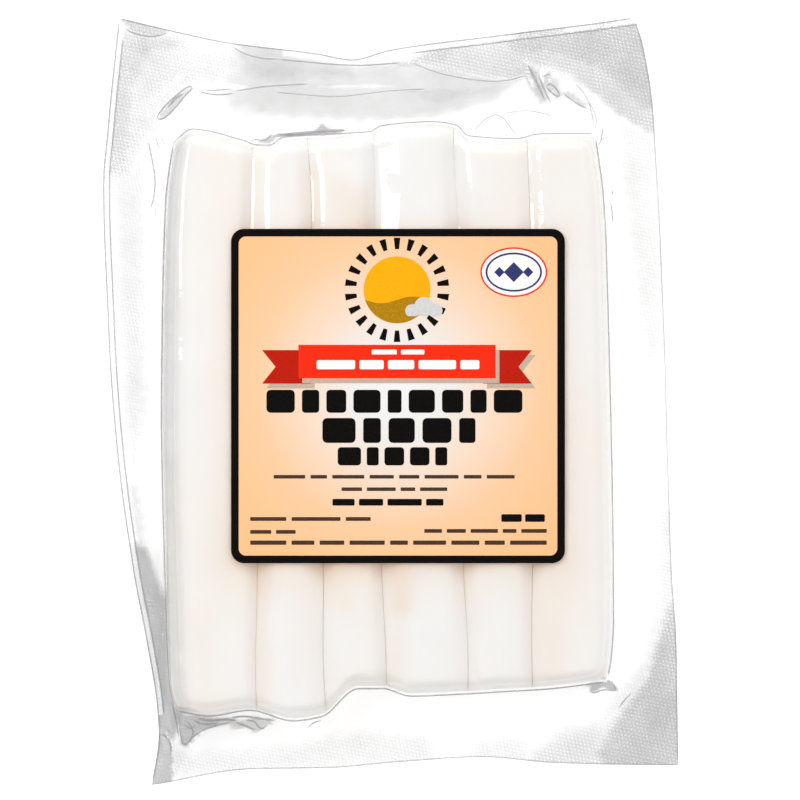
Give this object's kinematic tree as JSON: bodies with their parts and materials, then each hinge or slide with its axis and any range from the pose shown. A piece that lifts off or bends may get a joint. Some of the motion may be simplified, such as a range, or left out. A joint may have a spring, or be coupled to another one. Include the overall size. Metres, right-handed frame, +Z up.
{
  "type": "vacuum pack of string cheese",
  "caption": "Clear vacuum pouch of string cheese sticks lying side by side, with a flat sealed border and a square label on its front film.",
  "frame": {"origin": "centre of the pouch's outline, on the surface that it lies on", "axes": "+X towards the pouch's right edge, +Y along the sticks towards the top edge, +Z up through the label"},
  "size_m": [0.1214, 0.1618, 0.0146],
  "materials": {
    "film": "clear glossy film drawn tight over pale cream cheese",
    "cheese": "smooth, moist, pale cream",
    "label_paper": "satin peach paper with a black border",
    "print": "satin ink"
  },
  "bodies": {
    "root": {"bag": "film", "label": "label_paper"}
  },
  "joints": []
}
